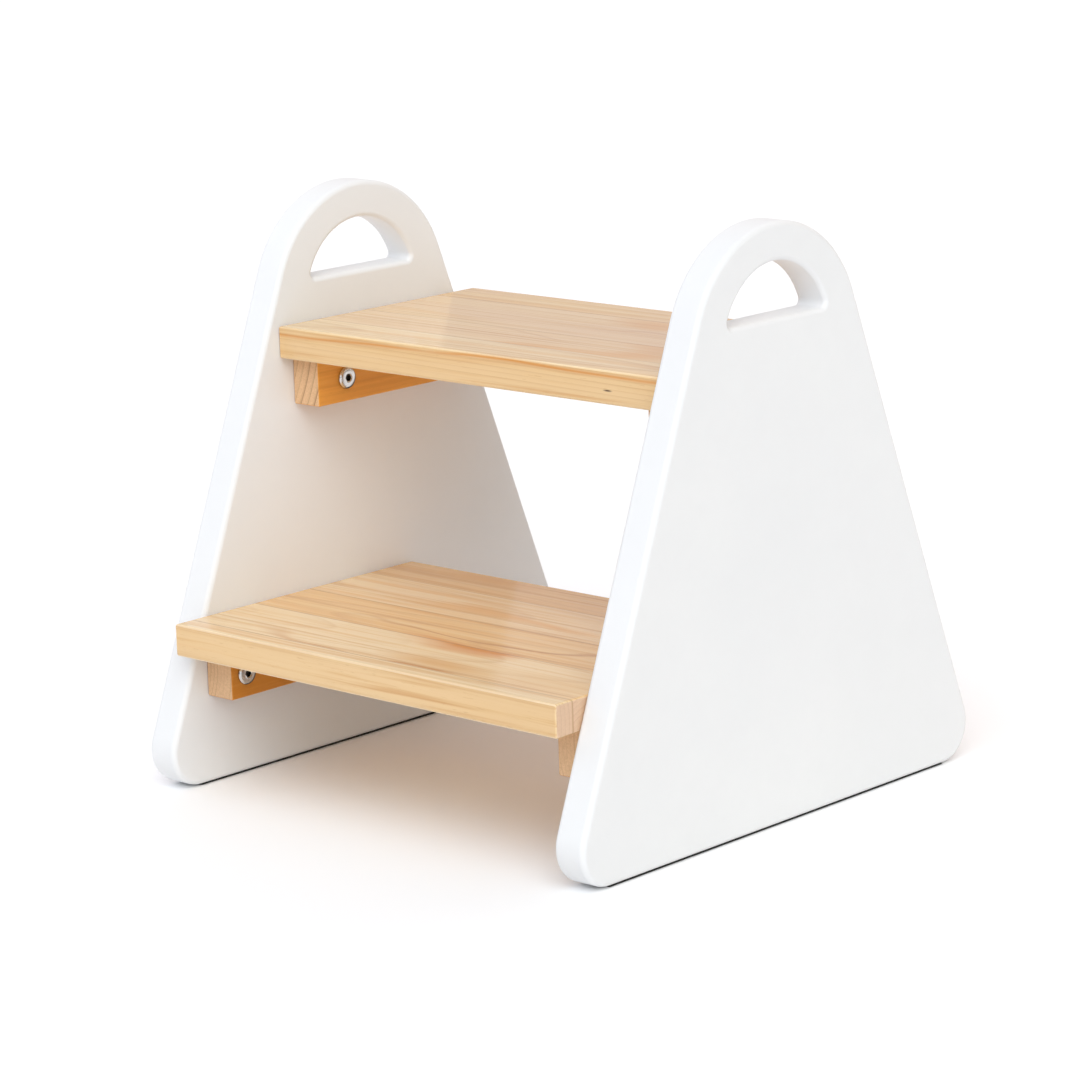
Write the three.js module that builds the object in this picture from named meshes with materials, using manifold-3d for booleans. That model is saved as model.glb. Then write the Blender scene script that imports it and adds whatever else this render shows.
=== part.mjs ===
// Two-step children's stool: two rounded-triangle side panels with hand holes,
// two wooden treads held between them on cleats, connector bolts and floor strips.
// Units are millimetres. +Z is up, the climbing side faces -Y, X runs from panel to panel.
// The origin is on the floor, midway between the panels and midway along their feet.
import * as THREE from 'three';
import { mergeVertices } from 'three/addons/utils/BufferGeometryUtils.js';
import Module from 'manifold-3d';

const wasm = await Module();
wasm.setup();

// ---- general -------------------------------------------------------------------------------
const GAP = 0.3; // clearance left between pieces that touch

// ---- side panels ---------------------------------------------------------------------------
const INNER_WIDTH = 315; // clear distance between the two panels
const PANEL_THICKNESS = 22.5;
const PANEL_EDGE_RADIUS = 3.5; // rounding of the panel's outer edges
const BASE_HALF_DEPTH = 189.3; // where a slanted side would meet the panel's flat bottom
const TOP_ARC_RADIUS = 76;
const TOP_ARC_HEIGHT = 282; // centre of the top arc above the floor
const FOOT_CORNER_RADIUS = 23;
const TOP_ARC_SEGMENTS = 36;
const FOOT_ARC_SEGMENTS = 8;
const PANEL_BEVEL_SEGMENTS = 3;

// ---- D-shaped hand holes -------------------------------------------------------------------
const HAND_HOLE_FLAT_HEIGHT = 302; // flat lower side above the floor
const HAND_HOLE_RADIUS = 47.7;
const HAND_HOLE_ARC_HEIGHT = 287.5; // centre of the hole's arc above the floor
const HAND_HOLE_CORNER_RADIUS = 3.2;
const HAND_HOLE_EDGE_RADIUS = 3; // rounding where the hole meets the panel's faces
const HAND_HOLE_OVERSHOOT = 0.02; // how far the hole's cutting tool stands proud of the faces
const HAND_HOLE_SEGMENTS = 28;
const HAND_HOLE_CORNER_SEGMENTS = 6;

// ---- floor strips --------------------------------------------------------------------------
const STRIP_THICKNESS = 0.7;
const STRIP_WIDTH = 18;
const STRIP_LENGTH = 310;
const STRIP_EDGE_RADIUS = 0.2;
const PANEL_BOTTOM = STRIP_THICKNESS + GAP; // underside of the panels above the floor

// ---- treads and cleats ---------------------------------------------------------------------
const TREAD_THICKNESS = 20;
const TREAD_EDGE_RADIUS = 1.5;
const CLEAT_THICKNESS = 22;
const CLEAT_HEIGHT = 30;
const CLEAT_LENGTH = 154;
const CLEAT_EDGE_RADIUS = 1;
const SCREW_OFFSETS = [40, 112]; // from the cleat's front end
const BOARD_BEVEL_SEGMENTS = 2;
const BOARD_CORNER_SEGMENTS = 3;
const CORNER_TO_EDGE_RATIO = 1.6; // a board's upright corners are rounder than its edges

// front: front edge of the tread; top: its upper face; cleatFront: front end of its cleats;
// bolts: distances of the two bolts from the cleat's front end
const STEPS = [
  { name: 'lower', front: -173, depth: 206.5, top: 106.8, cleatFront: -148.4, bolts: [12, 142] },
  { name: 'upper', front: -75.5, depth: 175, top: 276.5, cleatFront: -64.2, bolts: [24, 130] },
];

// ---- connector bolts, threaded inserts, wood screws ----------------------------------------
const BOLT_HEAD_RADIUS = 7;
const BOLT_HEAD_HEIGHT = 2.4;
const BOLT_HEAD_ROUND = 0.9;
const BOLT_RADIUS = 3;
const BOLT_LENGTH = 35;
const BOLT_TIP_CHAMFER = 0.8;
const BOLT_HEAD_ROUND_SEGMENTS = 4;
const SOCKET_ACROSS_FLATS = 4;
const SOCKET_DEPTH = 3.2;
const SOCKET_SIDES = 6;
const INSERT_RADIUS = 5;
const INSERT_LENGTH = 12;
const INSERT_RECESS = 0.5; // how far the insert sits below the panel's inner face
const INSERT_HOLE_DEPTH = 14;
const SCREW_HEAD_RADIUS = 4;
const SCREW_HEAD_HEIGHT = 2.6;
const SCREW_RADIUS = 2;
const SCREW_LENGTH = 42;
const SCREW_TIP_LENGTH = 4;
const SCREW_RECESS = 0.5; // how far the screw head sits above the cleat's underside
const SCREW_HOLE_DEPTH = 13; // depth of the screw hole in the tread
const CROSS_WIDTH = 0.9;
const CROSS_SPAN = 4.2;
const CROSS_DEPTH = 1.6;
const ROUND_SEGMENTS = 24;
const SCREW_SEGMENTS = 16;
const OVERCUT = 1; // how far a cutting tool runs past an open face

// ---- finishes ------------------------------------------------------------------------------
const FINISH = {
  paint: { color: 0xf3f3f1, roughness: 0.42, metalness: 0 },
  pine: { color: 0xe6c595, roughness: 0.38, metalness: 0 },
  cleatPine: { color: 0xdcae74, roughness: 0.5, metalness: 0 },
  nickel: { color: 0xc9cbcd, roughness: 0.22, metalness: 1 },
  zinc: { color: 0xb7b9ba, roughness: 0.35, metalness: 1 },
  brass: { color: 0xb5903f, roughness: 0.35, metalness: 1 },
  rubber: { color: 0x1b1b1b, roughness: 0.9, metalness: 0 },
};

const HALF_INNER = INNER_WIDTH / 2;

// ---- helpers -------------------------------------------------------------------------------
function piece(name, geometry, finish) {
  const mesh = new THREE.Mesh(geometry, new THREE.MeshStandardMaterial(FINISH[finish]));
  mesh.name = name;
  return mesh;
}

function toManifold(geometry) {
  const bare = geometry.clone();
  bare.deleteAttribute('normal');
  bare.deleteAttribute('uv');
  const merged = mergeVertices(bare);
  return new wasm.Manifold(new wasm.Mesh({
    numProp: 3,
    vertProperties: new Float32Array(merged.attributes.position.array),
    triVerts: new Uint32Array(merged.index.array),
  }));
}

function toGeometry(manifold) {
  const mesh = manifold.getMesh();
  const geometry = new THREE.BufferGeometry();
  geometry.setAttribute('position', new THREE.BufferAttribute(mesh.vertProperties, 3));
  geometry.setIndex(new THREE.BufferAttribute(mesh.triVerts, 1));
  geometry.computeVertexNormals();
  return geometry;
}

function cut(geometry, tools) {
  let body = toManifold(geometry);
  for (const tool of tools) {
    body = body.subtract(toManifold(tool));
  }
  return toGeometry(body);
}

// points of an arc, both ends included
function arc(cx, cy, radius, from, to, segments) {
  const points = [];
  for (let i = 0; i <= segments; i += 1) {
    const angle = from + ((to - from) * i) / segments;
    points.push(new THREE.Vector2(cx + radius * Math.cos(angle), cy + radius * Math.sin(angle)));
  }
  return points;
}

// extrudes a shape so that the finished body is `thickness` deep, centred on its own Z = 0,
// and has all its edges rounded inside the shape's outline
function roundedSlab(shape, thickness, radius, segments) {
  const geometry = new THREE.ExtrudeGeometry(shape, {
    depth: thickness - 2 * radius,
    bevelEnabled: true,
    bevelThickness: radius,
    bevelSize: radius,
    bevelOffset: -radius,
    bevelSegments: segments,
    steps: 1,
  });
  geometry.translate(0, 0, radius - thickness / 2);
  return geometry;
}

// a rectangular board centred on the origin, with rounded edges and corners
function board(x, y, z, edgeRadius) {
  const radius = edgeRadius * CORNER_TO_EDGE_RATIO;
  const cx = x / 2 - radius;
  const cy = y / 2 - radius;
  const quarter = Math.PI / 2;
  const corners = [[cx, cy, 0], [-cx, cy, 1], [-cx, -cy, 2], [cx, -cy, 3]];
  const points = corners.flatMap(([px, py, turn]) => (
    arc(px, py, radius, turn * quarter, (turn + 1) * quarter, BOARD_CORNER_SEGMENTS)
  ));
  return roundedSlab(new THREE.Shape(points), z, edgeRadius, BOARD_BEVEL_SEGMENTS);
}

// a cylinder centred on (x, y, z) with its axis along world X
function cylinderAlongX(radius, length, x, y, z, segments) {
  const geometry = new THREE.CylinderGeometry(radius, radius, length, segments);
  geometry.rotateZ(Math.PI / 2);
  geometry.translate(x, y, z);
  return geometry;
}

// a cylinder centred on (x, y, z) with its axis along world Z
function cylinderAlongZ(radius, length, x, y, z, segments) {
  const geometry = new THREE.CylinderGeometry(radius, radius, length, segments);
  geometry.rotateX(Math.PI / 2);
  geometry.translate(x, y, z);
  return geometry;
}

function cleatMiddleHeight(step) {
  return step.top - TREAD_THICKNESS - GAP - CLEAT_HEIGHT / 2;
}

// every connector's Y and Z, shared by the panels, cleats, bolts and inserts
function boltPlaces() {
  return STEPS.flatMap((step) => step.bolts.map((offset, index) => ({
    label: `${step.name}_${index === 0 ? 'front' : 'rear'}`,
    y: step.cleatFront + offset,
    z: cleatMiddleHeight(step),
  })));
}

// ---- side panels ---------------------------------------------------------------------------
// the lean of the slanted sides, which run tangent to the top arc
function sideLean() {
  const rise = TOP_ARC_HEIGHT - PANEL_BOTTOM;
  const reach = Math.hypot(BASE_HALF_DEPTH, rise);
  return Math.atan2(BASE_HALF_DEPTH, rise) - Math.asin(TOP_ARC_RADIUS / reach);
}

function panelOutline() {
  const lean = sideLean();
  const inset = FOOT_CORNER_RADIUS * Math.tan(lean) + FOOT_CORNER_RADIUS / Math.cos(lean);
  const footY = BASE_HALF_DEPTH - inset;
  const footZ = PANEL_BOTTOM + FOOT_CORNER_RADIUS;
  const down = 1.5 * Math.PI;
  return [
    ...arc(0, TOP_ARC_HEIGHT, TOP_ARC_RADIUS, lean, Math.PI - lean, TOP_ARC_SEGMENTS),
    ...arc(-footY, footZ, FOOT_CORNER_RADIUS, Math.PI - lean, down, FOOT_ARC_SEGMENTS),
    ...arc(footY, footZ, FOOT_CORNER_RADIUS, down, 2 * Math.PI + lean, FOOT_ARC_SEGMENTS),
  ];
}

function handHoleOutline() {
  const cornerZ = HAND_HOLE_FLAT_HEIGHT + HAND_HOLE_CORNER_RADIUS;
  const rise = cornerZ - HAND_HOLE_ARC_HEIGHT;
  const cornerY = Math.sqrt((HAND_HOLE_RADIUS - HAND_HOLE_CORNER_RADIUS) ** 2 - rise ** 2);
  const start = Math.atan2(rise, cornerY);
  const radius = HAND_HOLE_CORNER_RADIUS;
  const down = 1.5 * Math.PI;
  const few = HAND_HOLE_CORNER_SEGMENTS;
  const outline = [
    ...arc(0, HAND_HOLE_ARC_HEIGHT, HAND_HOLE_RADIUS, start, Math.PI - start, HAND_HOLE_SEGMENTS),
    ...arc(-cornerY, cornerZ, radius, Math.PI - start, down, few).slice(1),
    ...arc(cornerY, cornerZ, radius, down, 2 * Math.PI + start, few),
  ];
  outline.pop();
  return outline;
}

// the hole's outline drawn through the panel, flaring at both faces so that it leaves
// rounded edges there
function handHoleTool() {
  const radius = HAND_HOLE_EDGE_RADIUS;
  const length = PANEL_THICKNESS + 2 * HAND_HOLE_OVERSHOOT;
  const geometry = new THREE.ExtrudeGeometry(new THREE.Shape(handHoleOutline()), {
    depth: length - 2 * radius,
    bevelEnabled: true,
    bevelThickness: radius,
    bevelSize: -radius,
    bevelOffset: radius,
    bevelSegments: PANEL_BEVEL_SEGMENTS,
    steps: 1,
  });
  geometry.translate(0, 0, radius - length / 2);
  return geometry;
}

// turns a shape drawn flat, with its thickness along Z, into the YZ plane
function stoodUpright(geometry) {
  geometry.rotateX(Math.PI / 2);
  geometry.rotateZ(Math.PI / 2);
  return geometry;
}

// side is -1 for the left panel and +1 for the right one
function sidePanel(name, side) {
  const shape = new THREE.Shape(panelOutline());
  const slab = stoodUpright(
    roundedSlab(shape, PANEL_THICKNESS, PANEL_EDGE_RADIUS, PANEL_BEVEL_SEGMENTS),
  );
  const innerFace = (-side * PANEL_THICKNESS) / 2;
  const toolLength = INSERT_HOLE_DEPTH + OVERCUT;
  const toolX = innerFace + (side * (INSERT_HOLE_DEPTH - OVERCUT)) / 2;
  const tools = boltPlaces().map(({ y, z }) => (
    cylinderAlongX(INSERT_RADIUS + GAP, toolLength, toolX, y, z, ROUND_SEGMENTS)
  ));
  tools.push(stoodUpright(handHoleTool()));
  const mesh = piece(name, cut(slab, tools), 'paint');
  mesh.position.x = side * (HALF_INNER + PANEL_THICKNESS / 2);
  return mesh;
}

// ---- floor strips --------------------------------------------------------------------------
function floorStrip(name, side) {
  const mesh = piece(
    name,
    board(STRIP_WIDTH, STRIP_LENGTH, STRIP_THICKNESS, STRIP_EDGE_RADIUS),
    'rubber',
  );
  mesh.position.set(side * (HALF_INNER + PANEL_THICKNESS / 2), 0, STRIP_THICKNESS / 2);
  return mesh;
}

// ---- treads --------------------------------------------------------------------------------
function screwX(side) {
  return side * (HALF_INNER - GAP - CLEAT_THICKNESS / 2);
}

function tread(step) {
  const middleY = step.front + step.depth / 2;
  const bottom = -TREAD_THICKNESS / 2;
  const tools = [];
  for (const side of [-1, 1]) {
    for (const offset of SCREW_OFFSETS) {
      tools.push(cylinderAlongZ(
        SCREW_RADIUS + GAP,
        SCREW_HOLE_DEPTH + OVERCUT,
        screwX(side),
        step.cleatFront + offset - middleY,
        bottom + (SCREW_HOLE_DEPTH - OVERCUT) / 2,
        SCREW_SEGMENTS,
      ));
    }
  }
  const blank = board(INNER_WIDTH - 2 * GAP, step.depth, TREAD_THICKNESS, TREAD_EDGE_RADIUS);
  const mesh = piece(`tread_${step.name}`, cut(blank, tools), 'pine');
  mesh.position.set(0, middleY, step.top - TREAD_THICKNESS / 2);
  return mesh;
}

// ---- cleats --------------------------------------------------------------------------------
function cleat(step, side, label) {
  const frontEnd = -CLEAT_LENGTH / 2;
  const boltHoles = step.bolts.map((offset) => cylinderAlongX(
    BOLT_RADIUS + GAP,
    CLEAT_THICKNESS + 2 * OVERCUT,
    0,
    frontEnd + offset,
    0,
    ROUND_SEGMENTS,
  ));
  const screwHoles = SCREW_OFFSETS.flatMap((offset) => [
    cylinderAlongZ(
      SCREW_RADIUS + GAP,
      CLEAT_HEIGHT + 2 * OVERCUT,
      0,
      frontEnd + offset,
      0,
      SCREW_SEGMENTS,
    ),
    screwHeadSeat(frontEnd + offset),
  ]);
  const blank = board(CLEAT_THICKNESS, CLEAT_LENGTH, CLEAT_HEIGHT, CLEAT_EDGE_RADIUS);
  const solid = cut(blank, [...boltHoles, ...screwHoles]);
  const mesh = piece(`cleat_${step.name}_${label}`, solid, 'cleatPine');
  mesh.position.set(screwX(side), step.cleatFront + CLEAT_LENGTH / 2, cleatMiddleHeight(step));
  return mesh;
}

// the countersink under a screw head, opening through the cleat's underside
function screwHeadSeat(y) {
  const bottom = -CLEAT_HEIGHT / 2;
  const wide = SCREW_HEAD_RADIUS + GAP;
  const profile = [
    new THREE.Vector2(0, -OVERCUT),
    new THREE.Vector2(wide, -OVERCUT),
    new THREE.Vector2(wide, SCREW_RECESS + GAP),
    new THREE.Vector2(SCREW_RADIUS + GAP, SCREW_RECESS + GAP + SCREW_HEAD_HEIGHT),
    new THREE.Vector2(0, SCREW_RECESS + GAP + SCREW_HEAD_HEIGHT),
  ];
  const geometry = new THREE.LatheGeometry(profile, SCREW_SEGMENTS);
  geometry.rotateX(Math.PI / 2);
  geometry.translate(0, y, bottom);
  return geometry;
}

// ---- connector bolts -----------------------------------------------------------------------
// profile of the bolt from the tip to the crown of its head, turned about Y
function boltGeometry() {
  const crown = BOLT_HEAD_HEIGHT;
  const rim = BOLT_HEAD_RADIUS;
  const soft = BOLT_HEAD_ROUND;
  const profile = [
    new THREE.Vector2(0, -BOLT_LENGTH),
    new THREE.Vector2(BOLT_RADIUS - BOLT_TIP_CHAMFER, -BOLT_LENGTH),
    new THREE.Vector2(BOLT_RADIUS, -BOLT_LENGTH + BOLT_TIP_CHAMFER),
    new THREE.Vector2(BOLT_RADIUS, 0),
    new THREE.Vector2(rim, 0),
    ...arc(rim - soft, crown - soft, soft, 0, Math.PI / 2, BOLT_HEAD_ROUND_SEGMENTS),
    new THREE.Vector2(0, crown),
  ];
  const socketRadius = SOCKET_ACROSS_FLATS / Math.sqrt(3);
  const socketLength = SOCKET_DEPTH + OVERCUT;
  const socket = new THREE.CylinderGeometry(socketRadius, socketRadius, socketLength, SOCKET_SIDES);
  socket.translate(0, crown + (OVERCUT - SOCKET_DEPTH) / 2, 0);
  return cut(new THREE.LatheGeometry(profile, ROUND_SEGMENTS), [socket]);
}

function bolt(place, side, label) {
  const mesh = piece(`bolt_${place.label}_${label}`, boltGeometry(), 'nickel');
  mesh.rotation.z = (side * Math.PI) / 2;
  mesh.position.set(side * (HALF_INNER - 2 * GAP - CLEAT_THICKNESS), place.y, place.z);
  return mesh;
}

// ---- threaded inserts ----------------------------------------------------------------------
function insert(place, side, label) {
  const bore = BOLT_RADIUS + GAP;
  const profile = [
    new THREE.Vector2(bore, 0),
    new THREE.Vector2(INSERT_RADIUS, 0),
    new THREE.Vector2(INSERT_RADIUS, INSERT_LENGTH),
    new THREE.Vector2(bore, INSERT_LENGTH),
    new THREE.Vector2(bore, 0),
  ];
  const sleeve = new THREE.LatheGeometry(profile, SCREW_SEGMENTS);
  const mesh = piece(`insert_${place.label}_${label}`, sleeve, 'brass');
  mesh.rotation.z = (-side * Math.PI) / 2;
  mesh.position.set(side * (HALF_INNER + INSERT_RECESS), place.y, place.z);
  return mesh;
}

// ---- wood screws ---------------------------------------------------------------------------
// a countersunk screw standing on its head, turned about Y and then stood upright
function screwGeometry() {
  const profile = [
    new THREE.Vector2(0, 0),
    new THREE.Vector2(SCREW_HEAD_RADIUS, 0),
    new THREE.Vector2(SCREW_RADIUS, SCREW_HEAD_HEIGHT),
    new THREE.Vector2(SCREW_RADIUS, SCREW_LENGTH - SCREW_TIP_LENGTH),
    new THREE.Vector2(0, SCREW_LENGTH),
  ];
  const depth = CROSS_DEPTH + OVERCUT;
  const slotY = (CROSS_DEPTH - OVERCUT) / 2;
  const slots = [
    new THREE.BoxGeometry(CROSS_SPAN, depth, CROSS_WIDTH).translate(0, slotY, 0),
    new THREE.BoxGeometry(CROSS_WIDTH, depth, CROSS_SPAN).translate(0, slotY, 0),
  ];
  return cut(new THREE.LatheGeometry(profile, SCREW_SEGMENTS), slots);
}

function screw(step, index, side, label) {
  const place = index === 0 ? 'front' : 'rear';
  const mesh = piece(`screw_${step.name}_${place}_${label}`, screwGeometry(), 'zinc');
  const underside = cleatMiddleHeight(step) - CLEAT_HEIGHT / 2;
  mesh.rotation.x = Math.PI / 2;
  mesh.position.set(
    screwX(side),
    step.cleatFront + SCREW_OFFSETS[index],
    underside + SCREW_RECESS,
  );
  return mesh;
}

// ---- assembly ------------------------------------------------------------------------------
const stool = new THREE.Group();
stool.name = 'step_stool';

for (const [label, side] of [['left', -1], ['right', 1]]) {
  stool.add(sidePanel(`side_panel_${label}`, side));
  stool.add(floorStrip(`floor_strip_${label}`, side));
  for (const step of STEPS) {
    stool.add(cleat(step, side, label));
    SCREW_OFFSETS.forEach((_, index) => stool.add(screw(step, index, side, label)));
  }
  for (const place of boltPlaces()) {
    stool.add(bolt(place, side, label));
    stool.add(insert(place, side, label));
  }
}
for (const step of STEPS) {
  stool.add(tread(step));
}

export default stool;
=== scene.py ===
import math

import bpy
import bmesh
from mathutils import Matrix, Vector

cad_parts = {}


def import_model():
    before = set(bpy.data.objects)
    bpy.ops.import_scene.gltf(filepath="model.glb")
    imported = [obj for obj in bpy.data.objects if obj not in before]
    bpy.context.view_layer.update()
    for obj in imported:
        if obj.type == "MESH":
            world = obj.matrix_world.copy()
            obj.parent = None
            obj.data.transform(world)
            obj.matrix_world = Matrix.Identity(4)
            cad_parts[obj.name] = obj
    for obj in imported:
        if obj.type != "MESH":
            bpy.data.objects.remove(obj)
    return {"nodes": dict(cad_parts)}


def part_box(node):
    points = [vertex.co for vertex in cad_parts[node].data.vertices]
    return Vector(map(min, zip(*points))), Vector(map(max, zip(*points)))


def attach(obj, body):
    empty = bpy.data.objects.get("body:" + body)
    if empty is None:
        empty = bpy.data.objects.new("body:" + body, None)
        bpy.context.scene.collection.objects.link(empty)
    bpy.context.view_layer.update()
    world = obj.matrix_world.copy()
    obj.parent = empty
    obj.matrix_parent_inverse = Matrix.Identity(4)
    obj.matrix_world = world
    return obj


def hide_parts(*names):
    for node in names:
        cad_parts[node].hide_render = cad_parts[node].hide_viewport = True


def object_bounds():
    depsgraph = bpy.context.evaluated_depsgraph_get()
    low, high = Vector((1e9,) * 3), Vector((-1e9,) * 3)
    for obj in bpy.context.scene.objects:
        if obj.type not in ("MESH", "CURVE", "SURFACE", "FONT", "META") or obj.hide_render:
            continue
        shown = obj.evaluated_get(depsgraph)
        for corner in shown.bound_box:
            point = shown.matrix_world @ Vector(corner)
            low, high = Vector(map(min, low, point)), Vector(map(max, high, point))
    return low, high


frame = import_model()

cad_low, cad_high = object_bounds()

MM = 0.001

# ---- sizes repeated from the CAD, in metres ------------------------------------------------
TOP_ARC_RADIUS = 76 * MM
TOP_ARC_HEIGHT = 282 * MM
BASE_HALF_DEPTH = 189.3 * MM
FOOT_RADIUS = 23 * MM
PANEL_EDGE = 3.5 * MM
HOLE_FLAT = 302 * MM
HOLE_RADIUS = 47.7 * MM
HOLE_ARC_HEIGHT = 287.5 * MM
HOLE_CORNER = 3.2 * MM
HOLE_EDGE = 3 * MM
BOLT_HEAD_RADIUS = 7 * MM
BOLT_HEAD_HEIGHT = 2.4 * MM
BOLT_SHANK_RADIUS = 3 * MM
SOCKET_FLATS = 4 * MM

# how finely the curved outlines are drawn, in segments
TOP_ARC_SEGMENTS = 84
FOOT_SEGMENTS = 26
PANEL_SIDE_SEGMENTS = 24
HOLE_ARC_SEGMENTS = 64
HOLE_CORNER_SEGMENTS = 14
HOLE_FLAT_SEGMENTS = 12
EDGE_STEPS = 8
BOLT_SEGMENTS = 72
BOLT_ROUNDING_STEPS = 6
BOLT_SHARP_ANGLE = math.radians(38)

# softened edges of the boards and strips, and how many lengths each is cut into along X, Y, Z
TREAD_ARRIS, TREAD_SPANS = 1.5 * MM, (24, 16, 3)
CLEAT_ARRIS, CLEAT_SPANS = 0.9 * MM, (3, 12, 4)
STRIP_ARRIS, STRIP_SPANS = 0.15 * MM, (1, 8, 1)
ARRIS_SEGMENTS = 5

DOWN = 1.5 * math.pi            # the direction of -Z as an angle in the YZ plane


# ---- node graph helper ---------------------------------------------------------------------
class Graph:
    """A material's node tree, written as nested calls."""

    def __init__(self, name):
        self.material = bpy.data.materials.new(name)
        self.material.use_nodes = True
        self.tree = self.material.node_tree
        self.tree.nodes.clear()

    def add(self, kind, inputs=None, **settings):
        node = self.tree.nodes.new("ShaderNode" + kind)
        for key, value in settings.items():
            setattr(node, key, value)
        for key, value in (inputs or {}).items():
            self.feed(node.inputs[key], value)
        return node

    def feed(self, socket, value):
        if isinstance(value, bpy.types.NodeSocket):
            self.tree.links.new(value, socket)
        else:
            socket.default_value = value

    def place(self):
        """The point being shaded, in metres."""
        return self.add("TexCoord").outputs["Object"]

    def normal(self):
        """The surface's direction, as X, Y and Z."""
        return self.add("SeparateXYZ", {0: self.add("NewGeometry").outputs["Normal"]}).outputs

    def channels(self, colour):
        return self.add("SeparateColor", {0: colour}).outputs

    def math(self, operation, a, b=0.0):
        return self.add("Math", {0: a, 1: b}, operation=operation).outputs[0]

    def scaled(self, vector, factors):
        return self.add("VectorMath", {0: vector, 1: factors},
                        operation="MULTIPLY").outputs["Vector"]

    def combine(self, x, y, z):
        return self.add("CombineXYZ", {"X": x, "Y": y, "Z": z}).outputs[0]

    def noise(self, vector, scale=1.0, detail=2.0, rough=0.5):
        node = self.add("TexNoise", {"Vector": vector, "Scale": scale,
                                     "Detail": detail, "Roughness": rough})
        return node.outputs["Fac"]

    def ramp(self, factor, stops, mode="LINEAR"):
        """stops are pairs of a place from 0 to 1 and a grey level or colour."""
        node = self.add("ValToRGB", {"Fac": factor})
        ramp = node.color_ramp
        ramp.interpolation = mode
        while len(ramp.elements) > 1:
            ramp.elements.remove(ramp.elements[-1])
        ramp.elements[0].position = stops[0][0]
        ramp.elements[0].color = rgba(stops[0][1])
        for place, colour in stops[1:]:
            ramp.elements.new(place).color = rgba(colour)
        return node.outputs["Color"]

    def mix(self, factor, a, b, blend="MIX"):
        node = self.add("Mix", data_type="RGBA", blend_type=blend, clamp_factor=True)
        self.feed(node.inputs[0], factor)
        self.feed(node.inputs[6], rgba(a))
        self.feed(node.inputs[7], rgba(b))
        return node.outputs[2]

    def spread(self, value, low, high, to_low=0.0, to_high=1.0):
        """The value's way from low to high, carried to a new range and held inside it."""
        node = self.add("MapRange", {"Value": value, "From Min": low, "From Max": high,
                                     "To Min": to_low, "To Max": to_high}, clamp=True)
        return node.outputs["Result"]

    def soft_band(self, value, centre, half):
        """1 at the centre, falling smoothly to 0 at the given distance."""
        gap = self.math("ABSOLUTE", self.math("SUBTRACT", value, centre))
        return self.add("MapRange", {"Value": gap, "From Min": 0.0, "From Max": half,
                                     "To Min": 1.0, "To Max": 0.0},
                        interpolation_type="SMOOTHSTEP", clamp=True).outputs["Result"]

    def bump(self, height, strength, distance):
        return self.add("Bump", {"Height": height, "Strength": strength,
                                 "Distance": distance}).outputs["Normal"]

    def finish(self, inputs):
        shader = self.add("BsdfPrincipled", inputs)
        output = self.add("OutputMaterial")
        self.tree.links.new(shader.outputs[0], output.inputs["Surface"])
        return self.material


def rgba(value):
    """A grey level, an RGB triple or a socket, as a mix or ramp input."""
    if isinstance(value, (int, float)):
        return (value, value, value, 1.0)
    if isinstance(value, tuple) and len(value) == 3:
        return (*value, 1.0)
    return value


# ---- materials -----------------------------------------------------------------------------
# Noise scales are counts per metre, and bump distances are in metres.
def paint_material():
    """Satin white: orange peel, a trace of the board's grain, and faint clouding."""
    g = Graph("white_paint")
    place = g.place()
    cloud = g.noise(place, scale=9.0, detail=4.0, rough=0.6)
    mottle = g.noise(place, scale=70.0, detail=3.0, rough=0.6)
    peel = g.noise(place, scale=620.0, detail=2.0, rough=0.55)
    grain = g.noise(g.scaled(place, (260.0, 260.0, 22.0)), detail=3.0, rough=0.6)
    base = g.mix(g.spread(cloud, 0.35, 0.65), (0.812, 0.816, 0.818), (0.832, 0.834, 0.832))
    colour = g.mix(g.spread(mottle, 0.3, 0.75, 0.0, 0.35), base, (0.800, 0.803, 0.806))
    rough = g.math("ADD", g.math("MULTIPLY", mottle, 0.10), 0.50)
    height = g.math("ADD", g.math("MULTIPLY", peel, 0.6), g.math("MULTIPLY", grain, 0.4))
    return g.finish({
        "Base Color": colour,
        "Roughness": rough,
        "IOR": 1.5,
        "Specular IOR Level": 0.3,
        "Normal": g.bump(height, 0.12, 0.0004),
    })


# The pith that a stave's rings surround travels through a colour ramp, so each of its numbers
# is squeezed into 0..1 by one of these ranges.
SIDE_RANGE = (-0.15, 0.15)      # how far the pith lies to the side of the board's middle
RISE_RANGE = (-0.15, 0.15)      # and above or below it
LEAN_RANGE = (-0.10, 0.10)      # its slope along the board


def encode(value, low, high):
    return (value - low) / (high - low)


def ring_count(g, look, pith, shift, across, along, up, wander):
    """How many growth rings lie between a point and its stave's pith. across and up are
    measured from the board's middle."""
    side = g.math("SUBTRACT", across, g.spread(pith[0], 0.0, 1.0, *SIDE_RANGE))
    rise = g.math("SUBTRACT", up, g.spread(pith[1], 0.0, 1.0, *RISE_RANGE))
    lean = g.spread(pith[2], 0.0, 1.0, *LEAN_RANGE)
    rise = g.math("ADD", rise, g.math("MULTIPLY", along, lean))
    radius = g.math("SQRT", g.math("ADD", g.math("POWER", side, 2.0),
                                   g.math("POWER", rise, 2.0)))
    radius = g.math("ADD", radius, g.math("MULTIPLY", wander, look["wander"]))
    return g.math("ADD", g.math("MULTIPLY", radius, look["rings"]),
                  g.math("MULTIPLY", shift, 5.0))


def with_veins(g, colour, veins, u, planes, wander):
    """Single lines that the eye picks out, each with a path and a fade along the board."""
    for one in veins:
        track = g.channels(g.ramp(u, one["path"]))[0]
        fade = g.ramp(u, one["fade"])
        wavering = g.math("ADD", planes[one["plane"]], g.math("MULTIPLY", wander, one["waver"]))
        line = g.soft_band(wavering, track, one["half"])
        amount = g.math("MULTIPLY", g.math("MULTIPLY", line, fade), one["strength"])
        colour = g.mix(amount, colour, one["colour"])
    return colour


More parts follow.
